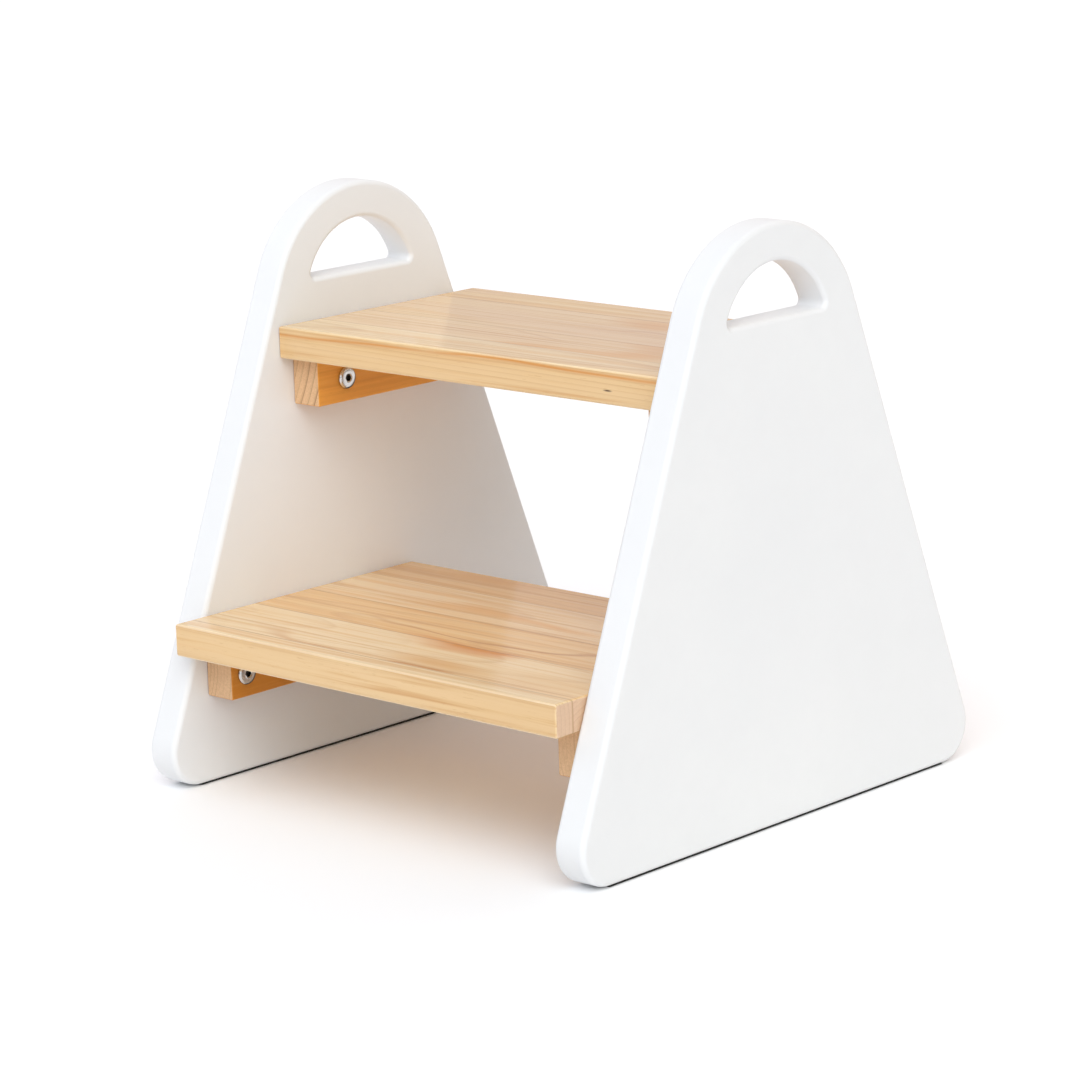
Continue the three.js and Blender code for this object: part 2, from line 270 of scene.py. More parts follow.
def with_marks(g, colour, marks, point, ragged_by):
    """Patches and flecks, each an ellipsoid with a ragged rim."""
    for one in marks:
        offset = g.combine(*[g.math("DIVIDE", g.math("SUBTRACT", value, centre), size)
                             for value, centre, size in zip(point, one["at"], one["size"])])
        reach = g.add("VectorMath", {0: offset}, operation="LENGTH").outputs["Value"]
        rag = g.math("MULTIPLY", g.math("SUBTRACT", ragged_by, 0.5), 1.2)
        mask = g.spread(g.math("ADD", reach, rag), 0.2, 1.0, 1.0, 0.0)
        colour = g.mix(g.math("MULTIPLY", mask, one["strength"]), colour, one["colour"])
    return colour


def pine_material(name, node, grain_axis, look):
    """Solid wood: growth rings round a pith line, so faces and sawn ends belong together.
    grain_axis is the axis that the fibres follow. look["staves"] lists the strips that the
    board is glued up from, each with the fraction of the width at which it starts."""
    low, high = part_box(node)
    g = Graph(name)
    sep = g.add("SeparateXYZ", {0: g.place()}).outputs
    cross_axis = "Y" if grain_axis == "X" else "X"
    along, across, up = sep[grain_axis], sep[cross_axis], sep["Z"]
    run, wide = "XYZ".index(grain_axis), "XYZ".index(cross_axis)
    width = high[wide] - low[wide]
    # the point's place along the board, across it and up through it, each from 0 to 1
    u = g.spread(along, low[run], high[run])
    v = g.spread(across, low[wide], high[wide])
    w = g.spread(up, low.z, high.z)

    # each stave has its own pith, tint and place in the noise
    staves = look["staves"]
    starts = [s["start"] for s in staves]

    def per_stave(values):
        return g.ramp(v, list(zip(starts, values)), "CONSTANT")

    pith = g.channels(per_stave([
        (encode(s["side"] * MM, *SIDE_RANGE), encode(s["rise"] * MM, *RISE_RANGE),
         encode(s["lean"], *LEAN_RANGE)) for s in staves]))
    shift = g.channels(per_stave([s["shift"] for s in staves]))[0]
    light = per_stave([s["light"] for s in staves])
    deep = per_stave([s["deep"] for s in staves])
    spot = g.combine(g.math("ADD", along, g.math("MULTIPLY", shift, 3.0)), across, up)

    def stretched(lengthwise, crosswise, detail, rough=0.55):
        return g.noise(g.scaled(spot, (lengthwise, crosswise, crosswise)),
                       detail=detail, rough=rough)

    # growth rings
    wander = g.math("SUBTRACT", stretched(4.5, look["wander_across"], 2.0), 0.5)
    count = ring_count(g, look, pith, shift,
                       g.math("SUBTRACT", across, (low[wide] + high[wide]) / 2), along,
                       g.math("SUBTRACT", up, (low.z + high.z) / 2), wander)
    late = g.ramp(g.math("FRACT", count), look["ring_profile"])
    uneven = g.noise(g.combine(g.math("MULTIPLY", count, 0.9), shift, 0.0), detail=1.0)
    late = g.math("MULTIPLY", late, g.spread(uneven, 0.35, 0.65, 0.25, 1.0))

    # masks by the surface's direction: long edges (planed calmer), arrises, sawn ends
    normal = g.normal()
    edge = g.spread(g.math("ABSOLUTE", normal[cross_axis]), 0.75, 0.95)
    calm = g.spread(edge, 0.0, 1.0, 1.0, 0.45)
    slope = g.math("MULTIPLY", normal[cross_axis], normal["Z"])
    arris = g.spread(g.math("ABSOLUTE", slope), 0.22, 0.42)
    end = g.spread(g.math("ABSOLUTE", normal[grain_axis]), 0.75, 0.95)

    # bands and fibres drawn out along the grain, from broad to hair-fine
    cloud = stretched(4.0, 18.0, 2.0)
    streak = stretched(2.6, 60.0, 3.0)
    band = stretched(2.4, 120.0, 2.0)
    strand = stretched(6.0, 340.0, 2.0)
    fibre = stretched(18.0, 850.0, 2.0)
    hair = stretched(60.0, 2000.0, 1.0)
    lines = g.spread(stretched(1.8, 190.0, 3.0, 0.66), 0.585, 0.64)
    pores = g.spread(stretched(110.0, 1500.0, 1.0), 0.68, 0.76)

    colour = g.mix(g.spread(cloud, 0.32, 0.68), light, deep)
    colour = g.mix(g.math("MULTIPLY", g.spread(streak, 0.54, 0.74), look["streak"]),
                   colour, look["amber"])
    colour = g.mix(g.math("MULTIPLY", late, look["ring_strength"]), colour, look["dark"])
    grainy = g.math("ADD", g.math("MULTIPLY", band, 0.30),
                    g.math("ADD", g.math("MULTIPLY", strand, 0.46),
                           g.math("MULTIPLY", fibre, 0.24)))
    dark_grain = g.spread(grainy, 0.505, 0.62, 0.0, look["fibre_strength"])
    pale_grain = g.spread(grainy, 0.37, 0.495, look["fibre_strength"] * 0.6, 0.0)
    colour = g.mix(dark_grain, colour, look["fibre_dark"])
    colour = g.mix(pale_grain, colour, look["fibre_pale"])
    drawn = g.math("MULTIPLY", g.math("MULTIPLY", lines, calm), look["line_strength"])
    colour = g.mix(drawn, colour, look["line_colour"])
    colour = g.mix(g.math("MULTIPLY", pores, 0.25), colour, look["dark"])

    colour = with_veins(g, colour, look.get("veins", []), u, {"v": v, "w": w}, wander)
    colour = with_marks(g, colour, look.get("marks", []), (u, v, w), strand)

    # the long edges are tinted deeper than the top, a painted shade for how the light falls on
    # them, and the arrises carry a pale painted highlight
    colour = g.mix(edge, colour, look["painted_edge_shade"], "MULTIPLY")
    # painted highlight along the arrises
    colour = g.mix(g.math("MULTIPLY", arris, look["arris"]), colour, look["arris_highlight_colour"])

    # sawn ends: rosier, with the rings drawn harder
    speck = g.noise(g.scaled(spot, (900.0, 900.0, 900.0)), detail=2.0, rough=0.7)
    end_light = g.mix(look["end_mix"], light, look["end_light"])
    end_colour = g.mix(g.math("MULTIPLY", late, look["end_rings"]), end_light, look["end_dark"])
    end_colour = g.mix(g.spread(speck, 0.35, 0.8, 0.0, 0.30), end_colour, look["end_dark"])
    colour = g.mix(end, colour, end_colour)

    height = g.math("ADD", g.math("MULTIPLY", fibre, 0.5),
                    g.math("ADD", g.math("MULTIPLY", hair, 0.25), g.math("MULTIPLY", strand, 0.3)))
    height = g.math("SUBTRACT", height, g.math("MULTIPLY", late, 0.3))

    # glue lines between the staves, patchy and slightly sunk
    glue = None
    for start in starts[1:]:
        line = g.soft_band(v, start, look["glue_half"] / width)
        glue = line if glue is None else g.math("MAXIMUM", glue, line)
    if glue is not None:
        patchy = g.spread(stretched(9.0, 4.0, 2.0), 0.3, 0.6, 0.45, 1.0)
        glue = g.math("MULTIPLY", glue, patchy)
        colour = g.mix(g.math("MULTIPLY", glue, look["glue"]), colour, look["glue_colour"])
        height = g.math("SUBTRACT", height, g.math("MULTIPLY", glue, 0.5))

    rough = g.math("ADD", g.math("MULTIPLY", fibre, look["rough_span"]), look["rough"])
    rough = g.math("ADD", rough, g.math("MULTIPLY", end, 0.22))
    rough = g.math("ADD", rough, g.math("MULTIPLY", arris, 0.5))
    return g.finish({
        "Base Color": colour,
        "Roughness": rough,
        "IOR": 1.5,
        "Specular IOR Level": look["gloss"],
        "Normal": g.bump(height, look["bump"], 0.00025),
    })


def metal_material(name, colour, rough, brush_scale, painted_shade=0.0):
    """Plated or turned metal. The last argument paints a dark reflection onto the sides that face
    down and to the back: painted shade standing in for the dark surroundings that the bolts
    reflect there."""
    g = Graph(name)
    place = g.place()
    brushed = g.noise(g.scaled(place, brush_scale), detail=3.0, rough=0.6)
    smudge = g.noise(place, scale=160.0, detail=3.0, rough=0.6)
    tint = g.mix(g.spread(smudge, 0.3, 0.7), colour, tuple(0.86 * c for c in colour))
    metallic = 1.0
    if painted_shade:
        # painted dark reflection: the sides facing down and to the back turn dark and lose their
        # metal
        normal = g.normal()
        away = g.math("SUBTRACT", g.math("MULTIPLY", normal["Y"], 0.8),
                      g.math("MULTIPLY", normal["Z"], 0.6))
        painted_shade_mask = g.spread(away, 0.10, 0.22, 0.0, painted_shade)
        tint = g.mix(painted_shade_mask, tint, (0.020, 0.017, 0.014))
        metallic = g.math("SUBTRACT", 1.0, painted_shade_mask)
    return g.finish({
        "Base Color": tint,
        "Metallic": metallic,
        "Specular IOR Level": 0.1,
        "Roughness": g.math("ADD", g.math("MULTIPLY", smudge, 0.14), rough),
        "Normal": g.bump(brushed, 0.06, 0.0001),
    })


def rubber_material():
    """Dull black rubber with fine grit and a little dust."""
    g = Graph("black_rubber")
    place = g.place()
    grit = g.noise(place, scale=900.0, detail=2.0, rough=0.7)
    dust = g.noise(place, scale=60.0, detail=3.0, rough=0.6)
    colour = g.mix(g.spread(dust, 0.4, 0.8), (0.012, 0.011, 0.010), (0.030, 0.028, 0.026))
    return g.finish({
        "Base Color": colour,
        "Roughness": g.math("ADD", g.math("MULTIPLY", grit, 0.2), 0.62),
        "Normal": g.bump(grit, 0.3, 0.0002),
    })


# ---- the boards' own figure ----------------------------------------------------------------
CREAM = (0.860, 0.675, 0.415)
STRAW = (0.840, 0.620, 0.340)
HONEY = (0.810, 0.550, 0.260)
ROSE = (0.760, 0.510, 0.310)
TAN = (0.735, 0.480, 0.235)
AMBER = (0.720, 0.345, 0.080)
UMBER = (0.470, 0.220, 0.070)


def stave(start, side, rise, lean, shift, light, deep):
    """A strip of the board: its start across the width, its pith (side and rise in mm), its
    place in the noise, and its two tints."""
    return {"start": start, "side": side, "rise": rise, "lean": lean, "shift": shift,
            "light": light, "deep": deep}


def vein(plane, path, fade, half, strength, colour, waver):
    """A line on the top ("v") or the long edges ("w"); path and fade go along the board."""
    return {"plane": plane, "path": path, "fade": fade, "half": half, "strength": strength,
            "colour": colour, "waver": waver}


def mark(at, size, strength, colour):
    """A patch at a place in the board, in fractions along, across and up."""
    return {"at": at, "size": size, "strength": strength, "colour": colour}


TREAD_LOOK = {
    "amber": AMBER,
    "dark": UMBER,
    "fibre_dark": (0.640, 0.350, 0.120),
    "fibre_pale": (0.890, 0.715, 0.455),
    "line_colour": (0.570, 0.300, 0.110),
    "end_light": (0.680, 0.440, 0.300),
    "end_dark": (0.500, 0.285, 0.165),
    "end_mix": 0.75,
    # painted shade: the long edges darkened against the top
    "painted_edge_shade": (0.90, 0.80, 0.68),
    # how strongly the arrises take their pale painted highlight
    "arris": 0.45,
    "arris_highlight_colour": (0.930, 0.780, 0.560),
    "glue_colour": (0.380, 0.190, 0.070),
    "streak": 0.55,
    "ring_strength": 0.42,
    "end_rings": 0.70,
    "fibre_strength": 0.60,
    "line_strength": 0.55,
    "glue": 0.72,
    "glue_half": 1.1 * MM,
    "wander": 0.0024,
    "wander_across": 14.0,
    "rings": 300.0,
    # how dark the late wood is through one ring, from the pith outwards
    "ring_profile": [(0.0, 0.0), (0.58, 0.04), (0.84, 0.42), (0.94, 1.0), (0.985, 0.5),
                     (1.0, 0.0)],
    "rough": 0.08,
    "rough_span": 0.10,
    "gloss": 0.5,
    "bump": 0.08,
}

# joints fall on whole steps of the colour ramp's table, so tint and glue line agree
RAMP_STEP = 1 / 255

LOWER_STAVES = [
    stave(0, -150, 0, 0.010, 0.12, CREAM, STRAW),
    stave(17 * RAMP_STEP, -52, -62, 0.045, 0.47, CREAM, HONEY),
    stave(82 * RAMP_STEP, -26, -70, -0.030, 0.81, HONEY, (0.790, 0.500, 0.210)),
    stave(140 * RAMP_STEP, 36, -95, 0.020, 0.29, CREAM, STRAW),
    stave(206 * RAMP_STEP, 92, -52, -0.015, 0.66, HONEY, TAN),
]
UPPER_STAVES = [
    stave(0, -70, -80, 0.012, 0.33, CREAM, STRAW),
    stave(50 * RAMP_STEP, -95, -60, 0.020, 0.74, STRAW, (0.800, 0.560, 0.330)),
    stave(109 * RAMP_STEP, -80, -75, -0.018, 0.18, STRAW, ROSE),
    stave(205 * RAMP_STEP, 110, -55, -0.012, 0.92, HONEY, ROSE),
]


def lower_tread_material():
    look = dict(TREAD_LOOK, staves=LOWER_STAVES)
    look["veins"] = [
        vein("v", [(0.0, 0.165), (0.34, 0.150), (0.44, 0.130), (0.57, 0.135), (0.71, 0.100)],
             [(0.10, 0.0), (0.35, 0.8), (0.50, 1.0), (0.66, 1.0), (0.74, 0.0)],
             0.020, 0.95, (0.520, 0.225, 0.055), 0.5),
        vein("v", [(0.0, 0.440), (0.57, 0.435), (0.65, 0.430), (1.0, 0.475)],
             [(0.20, 0.0), (0.40, 0.8), (0.70, 1.0), (1.0, 0.6)],
             0.014, 0.90, (0.500, 0.225, 0.060), 0.5),
        vein("v", [(0.0, 0.345), (0.45, 0.342), (0.70, 0.330), (1.0, 0.330)],
             [(0.40, 0.0), (0.56, 1.0), (0.68, 1.0), (0.74, 0.0)],
             0.034, 1.00, (0.640, 0.225, 0.025), 0.3),
        vein("v", [(0.0, 0.600), (0.45, 0.592), (1.0, 0.585)],
             [(0.15, 0.0), (0.40, 0.9), (0.62, 1.0), (0.80, 0.0)],
             0.055, 0.70, (0.730, 0.365, 0.090), 0.5),
    ]
    look["marks"] = [
        mark((0.62, 0.135, 1.0), (0.16, 0.055, 3.0), 0.75, (0.690, 0.370, 0.115)),
        mark((0.25, 0.955, 1.0), (0.16, 0.060, 3.0), 0.60, (0.700, 0.375, 0.120)),
        mark((0.90, 0.160, 1.0), (0.20, 0.070, 3.0), 0.40, (0.700, 0.420, 0.160)),
        mark((0.92, 0.860, 1.0), (0.42, 0.300, 3.0), 0.55, (0.640, 0.420, 0.270)),
        mark((0.95, 0.500, 1.0), (0.22, 0.160, 3.0), 0.40, (0.690, 0.420, 0.210)),
    ]
    return pine_material("pine_tread_lower", "tread_lower", "X", look)


def upper_tread_material():
    look = dict(TREAD_LOOK, staves=UPPER_STAVES)
    look["veins"] = [
        vein("w", [(0.0, 0.77), (0.33, 0.86), (0.42, 0.88), (0.52, 0.90), (1.0, 0.88)],
             [(0.0, 0.7), (0.30, 0.9), (0.40, 0.25), (0.48, 0.8), (0.62, 1.0), (1.0, 0.8)],
             0.075, 0.85, (0.700, 0.300, 0.045), 0.6),
        vein("v", [(0.0, 0.40), (0.41, 0.392), (0.57, 0.370), (1.0, 0.34)],
             [(0.32, 0.0), (0.42, 0.9), (0.56, 0.9), (0.66, 0.0)],
             0.012, 0.45, (0.540, 0.290, 0.130), 0.5),
        vein("v", [(0.0, 0.62), (0.50, 0.600), (1.0, 0.615)],
             [(0.35, 0.0), (0.55, 0.8), (0.85, 0.7), (1.0, 0.2)],
             0.012, 0.55, (0.540, 0.290, 0.130), 0.5),
    ]
    look["marks"] = [
        mark((0.865, 0.0, 0.42), (0.012, 0.5, 0.035), 0.95, (0.060, 0.025, 0.010)),
        mark((0.85, 0.60, 1.0), (0.50, 0.55, 0.3), 0.40, (0.680, 0.455, 0.300)),
    ]
    look.update(rings=330.0, wander=0.0016, line_strength=0.42, arris=0.15)
    return pine_material("pine_tread_upper", "tread_upper", "X", look)


# the cleats' tints are the pine's own colour made deeper and more amber: painted shade and warm
# bounce light from the treads above them
CLEAT_LOOK = dict(
    TREAD_LOOK,
    amber=(0.640, 0.250, 0.040),
    dark=(0.430, 0.150, 0.025),
    fibre_dark=(0.590, 0.225, 0.030),
    fibre_pale=(0.800, 0.420, 0.120),
    line_colour=(0.450, 0.170, 0.025),
    end_light=(0.790, 0.550, 0.340),
    end_dark=(0.270, 0.115, 0.050),
    end_mix=0.85,
    painted_edge_shade=(1.0, 1.0, 1.0),
    arris=0.3,
    arris_highlight_colour=(0.850, 0.560, 0.260),
    ring_strength=0.35,
    wander=0.002,
    rough=0.45,
    gloss=0.15,
    fibre_strength=0.35,
    line_strength=0.30,
)


def cleat_material(which, side):
    """The upper cleats are paler, with bold rings; the lower ones have closer rings and darker
    tints, painted deeper shade for their place under the lower tread.
    """
    turned = -1 if side == "left" else 1
    if which == "upper":
        own = {
            "rings": 190.0,
            "end_rings": 0.95,
            "staves": [stave(0, 130 * turned, -45 * turned, 0.01, 0.31,
                             (0.830, 0.390, 0.085), (0.780, 0.330, 0.050))],
        }
    else:
        own = {
            "rings": 330.0,
            "end_rings": 0.45,
            "staves": [stave(0, 60 * turned, 5, 0.01, 0.31,
                             (0.610, 0.232, 0.034), (0.560, 0.200, 0.025))],
        }
    return pine_material(f"pine_cleat_{which}_{side}", f"cleat_{which}_{side}", "Y",
                         dict(CLEAT_LOOK, **own))


# ---- mesh helpers --------------------------------------------------------------------------
def object_from(name, bm, material, node):
    """A smooth-shaded piece that takes the place of a CAD node on the stool's one body."""
    bmesh.ops.recalc_face_normals(bm, faces=bm.faces[:])
    mesh = bpy.data.meshes.new(name)
    bm.to_mesh(mesh)
    bm.free()
    for polygon in mesh.polygons:
        polygon.use_smooth = True
    mesh.materials.append(material)
    obj = bpy.data.objects.new(name, mesh)
    bpy.context.scene.collection.objects.link(obj)
    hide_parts(node)
    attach(obj, "root")
    return obj


def arc(cy, cz, radius, start, end, count):
    """Points of an arc in the YZ plane, each with its outward direction."""
    result = []
    for i in range(count + 1):
        angle = start + (end - start) * i / count
        direction = (math.cos(angle), math.sin(angle))
        result.append((cy + radius * direction[0], cz + radius * direction[1], direction))
    return result


def side_lean(bottom):
    """How far a panel's sloping side leans from upright: a tangent from base to top arc."""
    rise = TOP_ARC_HEIGHT - bottom
    reach = math.hypot(BASE_HALF_DEPTH, rise)
    return math.atan2(BASE_HALF_DEPTH, rise) - math.asin(TOP_ARC_RADIUS / reach)


def straight(first, last, count):
    """Points strictly between two outline points that share a direction."""
    result = []
    for i in range(1, count):
        t = i / count
        result.append((first[0] + (last[0] - first[0]) * t,
                       first[1] + (last[1] - first[1]) * t, first[2]))
    return result


def joined(arcs, count):
    """The arcs as one closed outline, with straight runs between them."""
    points = []
    for index, part in enumerate(arcs):
        points += part
        following = arcs[(index + 1) % len(arcs)]
        points += straight(part[-1], following[0], count)
    return points


def panel_outline(bottom, inset):
    """The rounded triangle of a panel, drawn in by inset."""
    lean = side_lean(bottom)
    foot_y = BASE_HALF_DEPTH - FOOT_RADIUS * math.tan(lean) - FOOT_RADIUS / math.cos(lean)
    foot_z = bottom + FOOT_RADIUS
    top, foot = TOP_ARC_RADIUS - inset, FOOT_RADIUS - inset
    arcs = [
        arc(0, TOP_ARC_HEIGHT, top, lean, math.pi - lean, TOP_ARC_SEGMENTS),
        arc(-foot_y, foot_z, foot, math.pi - lean, DOWN, FOOT_SEGMENTS),
        arc(foot_y, foot_z, foot, DOWN, 2 * math.pi + lean, FOOT_SEGMENTS),
    ]
    return joined(arcs, PANEL_SIDE_SEGMENTS)


def hole_outline(grow):
    """The D-shaped hand hole, let out by grow."""
    corner_z = HOLE_FLAT + HOLE_CORNER
    rise = corner_z - HOLE_ARC_HEIGHT
    corner_y = math.sqrt((HOLE_RADIUS - HOLE_CORNER) ** 2 - rise ** 2)
    start = math.atan2(rise, corner_y)
    radius, corner = HOLE_RADIUS + grow, HOLE_CORNER + grow
    # top and back leave out their last points, which front and top start with
    top = arc(0, HOLE_ARC_HEIGHT, radius, start, math.pi - start, HOLE_ARC_SEGMENTS)[:-1]
    front = arc(-corner_y, corner_z, corner, math.pi - start, DOWN, HOLE_CORNER_SEGMENTS)
    back = arc(corner_y, corner_z, corner, DOWN, 2 * math.pi + start, HOLE_CORNER_SEGMENTS)[:-1]
    return top + front + straight(front[-1], back[0], HOLE_FLAT_SEGMENTS) + back


def panel(side, material):
    """A board with rounded edges; every vertex carries the exact surface normal."""
    node = f"side_panel_{side}"
    low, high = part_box(node)
    bm = bmesh.new()
    normals = []

    def ring(outline_at, edge, face_x, inward, step, sign):
        angle = step / EDGE_STEPS * math.pi / 2
        x = face_x + inward * edge * (1 - math.cos(angle))
        made = []
        for y, z, direction in outline_at(edge * (1 - math.sin(angle))):
            made.append(bm.verts.new((x, y, z)))
            flat, turned = math.cos(angle), math.sin(angle) * sign
            normals.append((-inward * flat, direction[0] * turned, direction[1] * turned))
        return made

    def sleeve(outline_at, edge, sign):
        rings = [ring(outline_at, edge, low.x, 1, k, sign) for k in range(EDGE_STEPS + 1)]
        rings += [ring(outline_at, edge, high.x, -1, k, sign) for k in range(EDGE_STEPS, -1, -1)]
        for first, second in zip(rings, rings[1:]):
            for i in range(len(first)):
                j = (i + 1) % len(first)
                bm.faces.new((first[i], first[j], second[j], second[i]))
        return rings[0], rings[-1]

    outer = sleeve(lambda inset: panel_outline(low.z, inset), PANEL_EDGE, 1)
    inner = sleeve(hole_outline, HOLE_EDGE, -1)
    for which in (0, 1):
        edges = []
        for loop in (outer[which], inner[which]):
            for i, vert in enumerate(loop):
                edges.append(bm.edges.get((vert, loop[(i + 1) % len(loop)])))
        bmesh.ops.triangle_fill(bm, use_beauty=True, edges=edges)
    obj = object_from(f"painted_panel_{side}", bm, material, node)
    obj.data.normals_split_custom_set_from_vertices([Vector(n).normalized() for n in normals])


def eased_board(name, node, edge, material, spans):
    """A board with softened edges, cut into short lengths so its surface can be shaded well."""
    low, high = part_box(node)
    bm = bmesh.new()
    bmesh.ops.create_cube(bm, size=1.0)
    for vert in bm.verts:
        for i in range(3):
            vert.co[i] = low[i] if vert.co[i] < 0 else high[i]
    bmesh.ops.bevel(bm, geom=bm.edges[:], offset=edge, segments=ARRIS_SEGMENTS, profile=0.5,
                    affect="EDGES", clamp_overlap=True)
    for axis, count in enumerate(spans):
        direction = Vector([1.0 if i == axis else 0.0 for i in range(3)])
        for k in range(1, count):
            t = k / count
            point = Vector(low) * (1 - t) + Vector(high) * t
            geometry = bm.verts[:] + bm.edges[:] + bm.faces[:]
            bmesh.ops.bisect_plane(bm, geom=geometry, plane_co=point, plane_no=direction)
    obj = object_from(name, bm, material, node)
    weighted = obj.modifiers.new("even_shading", "WEIGHTED_NORMAL")
    weighted.mode = "FACE_AREA"
    weighted.keep_sharp = False


def hexagon_reach(angle, apothem):
    """Distance from a hexagon's centre to its side, in the given direction."""
    sixth = math.pi / 3
    return apothem / math.cos((angle % sixth) - sixth / 2)


def bolt(node, material, socket_material):
    """A low round head with a hexagon socket, on a plain shank."""
    low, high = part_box(node)
    left = (low.x + high.x) / 2 < 0
    outward = 1.0 if left else -1.0          # the way the head faces
    crown_x = high.x if left else low.x
    tip_x = low.x if left else high.x
    cy, cz = (low.y + high.y) / 2, (low.z + high.z) / 2
    rim, shank, socket = BOLT_HEAD_RADIUS, BOLT_SHANK_RADIUS, SOCKET_FLATS / 2
    soft = 1.8 * MM                          # rounding of the head's outer edge
    chamfer = 0.25 * MM                      # of the edge against the cleat
    tip_chamfer = 0.8 * MM
    flat = rim - 2.4 * MM                    # the crown's flat ring
    bm = bmesh.new()

    def ring(x, radius_at):
        made = []
        for i in range(BOLT_SEGMENTS):
            angle = 2 * math.pi * i / BOLT_SEGMENTS
            r = radius_at(angle)
            made.append(bm.verts.new((x, cy + r * math.cos(angle), cz + r * math.sin(angle))))
        return made

    # the socket from its floor up, in depth below the crown and width past the flats
    rings = []
    for depth, past in ((2.0, 0), (0.45, 0), (0.30, 0.05), (0.16, 0.25)):
        rings.append(ring(crown_x - outward * depth * MM,
                          lambda a, reach=socket + past * MM: hexagon_reach(a, reach)))
    for depth, radius in ((0.02, socket + 1.0 * MM), (0, socket + 1.4 * MM), (0.08, flat)):
        rings.append(ring(crown_x - outward * depth * MM, lambda a, r=radius: r))
    for k in range(BOLT_ROUNDING_STEPS + 1):
        angle = math.pi / 2 * k / BOLT_ROUNDING_STEPS
        x = crown_x - outward * (0.2 * MM + soft * (1 - math.cos(angle)))
        rings.append(ring(x, lambda a, s=math.sin(angle): rim - soft + soft * s))
    head_back = crown_x - outward * BOLT_HEAD_HEIGHT
    for x, radius in ((head_back + outward * chamfer, rim),
                      (head_back, rim - chamfer),
                      (head_back, shank + 0.3 * MM),
                      (head_back - outward * 0.3 * MM, shank),
                      (tip_x + outward * tip_chamfer, shank),
                      (tip_x, shank - tip_chamfer)):
        rings.append(ring(x, lambda a, r=radius: r))
    # the socket's walls and floor take the second material: painted shade, dark metal where the
    # hollow socket is only in shade
    for first, second in zip(rings, rings[1:]):
        for i in range(BOLT_SEGMENTS):
            j = (i + 1) % BOLT_SEGMENTS
            face = bm.faces.new((first[i], first[j], second[j], second[i]))
            face.material_index = 1 if first is rings[0] else 0
    bm.faces.new(rings[-1])
    floor_centre = bm.verts.new((crown_x - outward * 2.25 * MM, cy, cz))
    for i in range(BOLT_SEGMENTS):
        corner = (rings[0][i], rings[0][(i + 1) % BOLT_SEGMENTS], floor_centre)
        bm.faces.new(corner).material_index = 1
    obj = object_from(f"connector_{node}", bm, material, node)
    obj.data.materials.append(socket_material)
    obj.data.set_sharp_from_angle(angle=BOLT_SHARP_ANGLE)


# ---- the stool -----------------------------------------------------------------------------
paint = paint_material()
# the 0.95 is the strength of the painted dark reflection on the bolt heads
nickel = metal_material("nickel", (0.70, 0.68, 0.65), 0.12, (500.0, 60.0, 500.0), 0.95)
zinc = metal_material("zinc", (0.62, 0.63, 0.64), 0.30, (300.0, 300.0, 300.0))
brass = metal_material("brass", (0.68, 0.50, 0.22), 0.28, (300.0, 300.0, 300.0))
# painted shade for the hexagon socket, which is dark because it lies in shade
dark_socket = metal_material("socket_painted_shade", (0.070, 0.065, 0.060), 0.45,
                             (500.0, 500.0, 500.0))
kept_finishes = {"screw": zinc, "insert": brass}
rubber = rubber_material()
tread_materials = {"lower": lower_tread_material(), "upper": upper_tread_material()}

for side in ("left", "right"):
    panel(side, paint)
    eased_board(f"rubber_strip_{side}", f"floor_strip_{side}", STRIP_ARRIS, rubber,
                STRIP_SPANS)
    for step in ("lower", "upper"):
        eased_board(f"pine_cleat_{step}_{side}", f"cleat_{step}_{side}", CLEAT_ARRIS,
                    cleat_material(step, side), CLEAT_SPANS)
for step in ("lower", "upper"):
    eased_board(f"pine_tread_{step}", f"tread_{step}", TREAD_ARRIS, tread_materials[step],
                TREAD_SPANS)
for node, obj in frame["nodes"].items():
    kind = node.split("_")[0]
    if kind == "bolt":
        bolt(node, nickel, dark_socket)
    elif kind in kept_finishes:
        # these are out of sight, so they keep their CAD meshes
        for material_slot in obj.material_slots:
            material_slot.material = kept_finishes[kind]


# ---- floor, light and camera ---------------------------------------------------------------
FLOOR_REACH = 30.0              # half the floor's side, in metres
FLOOR_DROP = 0.0002             # how far it lies below the stool, so nothing coincides

# soft lights of the studio: compass angle from the front towards the right, height, colour
SOFT_LIGHTS = [
    (40, 40, (3.74, 3.80, 3.84)),
    (60, 12, (0.82, 0.90, 0.94)),
    (75, 60, (0.76, 0.78, 0.80)),
    (80, 40, (0.50, 0.54, 0.54)),
    (0, 40, (0.74, 0.76, 0.82)),
    (300, 40, (1.16, 1.25, 1.44)),
    (270, 12, (1.04, 1.13, 1.30)),
    (240, 40, (1.10, 0.95, 0.86)),
    (180, 40, (1.58, 1.36, 1.38)),
    (160, 12, (0.74, 0.53, 0.20)),
    (210, 12, (0.62, 0.60, 0.60)),
    (45, 75, (0.78, 0.77, 0.73)),
]
LIGHT_SHARPNESS = 12.0          # the higher, the narrower each light

# the photo's camera, solved from the stool's corners and arcs
SENSOR_WIDTH = 36.0
LENS = 131.457
CAMERA_PLACE = (1.597616, -1.728614, 0.685393)
CAMERA_YAW = 0.749737           # radians, to the left of straight ahead (+Y)
CAMERA_PITCH = 0.224471         # downwards
CAMERA_ROLL = -0.030525
CLIP_START, CLIP_END = 0.05, 60.0


def floor():
    g = Graph("studio_floor")
    soft = g.noise(g.place(), scale=3.0, detail=3.0, rough=0.5)
    colour = g.mix(g.spread(soft, 0.3, 0.7), (0.965, 0.968, 0.972), (0.975, 0.977, 0.980))
    material = g.finish({"Base Color": colour, "Roughness": 0.9, "Specular IOR Level": 0.1})
    mesh = bpy.data.meshes.new("studio_floor")
    far = FLOOR_REACH
    corners = [(-far, -far, 0), (far, -far, 0), (far, far, 0), (-far, far, 0)]
    mesh.from_pydata(corners, [], [(0, 1, 2, 3)])
    mesh.materials.append(material)
    obj = bpy.data.objects.new("studio_floor", mesh)
    obj.location.z = cad_low.z - FLOOR_DROP
    bpy.context.scene.collection.objects.link(obj)


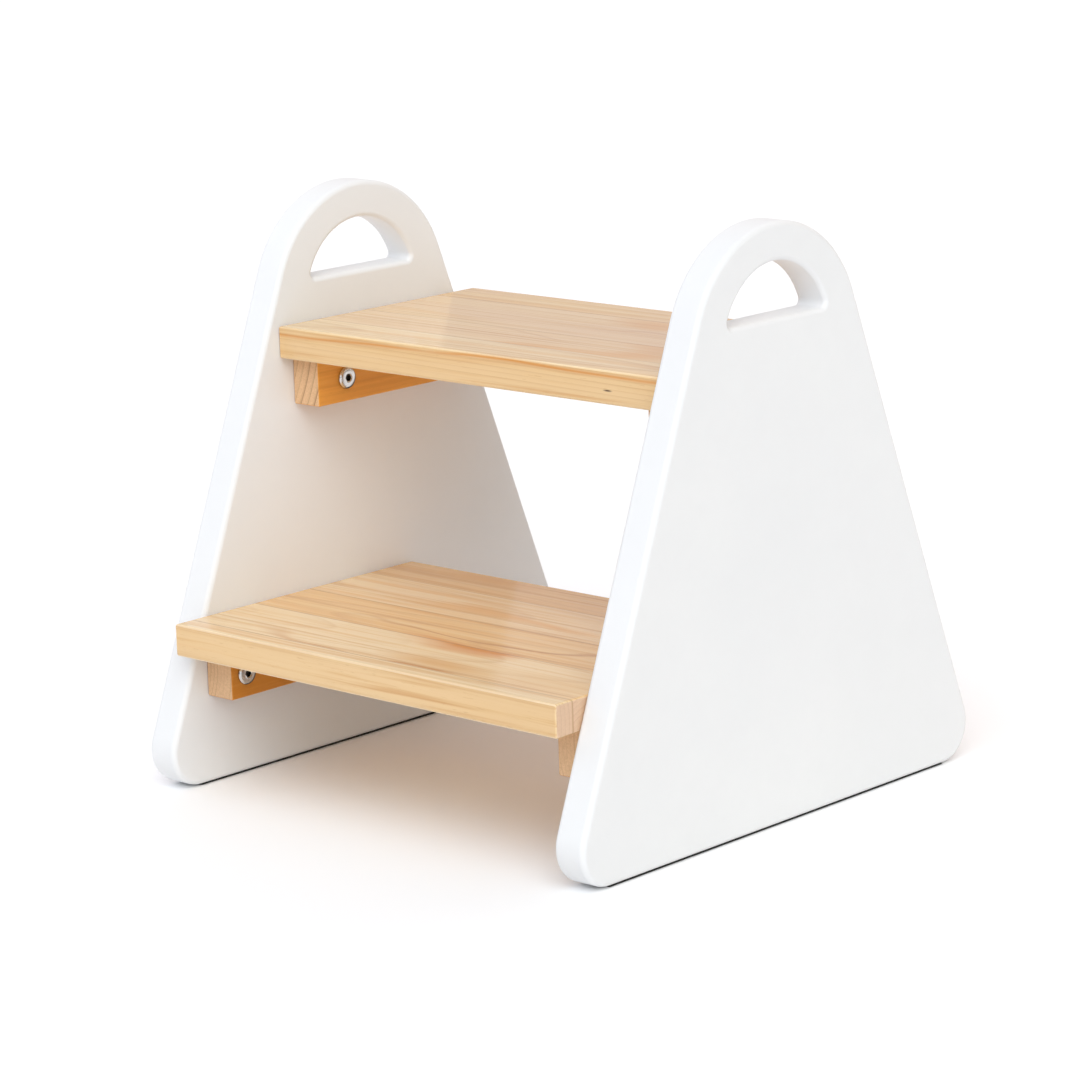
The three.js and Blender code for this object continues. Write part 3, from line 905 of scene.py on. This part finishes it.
def world():
    """A studio of broad soft lights, strongest from the front right and weak from behind."""
    made = bpy.data.worlds.new("soft_studio")
    made.use_nodes = True
    tree = made.node_tree
    background = tree.nodes["Background"]

    def step(kind, operation, *inputs):
        """One maths node, fed with numbers, triples or sockets."""
        node = tree.nodes.new("ShaderNode" + kind)
        node.operation = operation
        for socket, value in zip(node.inputs, inputs):
            if isinstance(value, bpy.types.NodeSocket):
                tree.links.new(value, socket)
            else:
                socket.default_value = value
        return node.outputs["Value" if operation != "MULTIPLY_ADD" else "Vector"]

    ray = tree.nodes.new("ShaderNodeTexCoord").outputs["Generated"]
    total = (0.0, 0.0, 0.0)
    for compass, height, colour in SOFT_LIGHTS:
        turn, lift = math.radians(compass), math.radians(height)
        towards = (math.cos(lift) * math.sin(turn), -math.cos(lift) * math.cos(turn),
                   math.sin(lift))
        ahead = step("Math", "MAXIMUM", step("VectorMath", "DOT_PRODUCT", ray, towards), 0.0)
        glow = step("Math", "POWER", ahead, LIGHT_SHARPNESS)
        total = step("VectorMath", "MULTIPLY_ADD", glow, colour, total)
    tree.links.new(total, background.inputs["Color"])
    background.inputs["Strength"].default_value = 1.0
    bpy.context.scene.world = made


def camera():
    data = bpy.data.cameras.new("camera")
    data.sensor_width = SENSOR_WIDTH
    data.lens = LENS
    data.clip_start, data.clip_end = CLIP_START, CLIP_END
    obj = bpy.data.objects.new("camera", data)
    bpy.context.scene.collection.objects.link(obj)
    level = math.cos(CAMERA_PITCH)
    forward = Vector((-level * math.sin(CAMERA_YAW), level * math.cos(CAMERA_YAW),
                      -math.sin(CAMERA_PITCH)))
    right = forward.cross(Vector((0, 0, 1))).normalized()
    up = right.cross(forward)
    rolled_right = math.cos(CAMERA_ROLL) * right + math.sin(CAMERA_ROLL) * up
    rolled_up = -math.sin(CAMERA_ROLL) * right + math.cos(CAMERA_ROLL) * up
    basis = [[rolled_right[i], rolled_up[i], -forward[i]] for i in range(3)]
    obj.matrix_world = Matrix.Translation(CAMERA_PLACE) @ Matrix(basis).to_4x4()
    bpy.context.scene.camera = obj


floor()
world()
camera()
bpy.context.scene.view_settings.view_transform = "Standard"
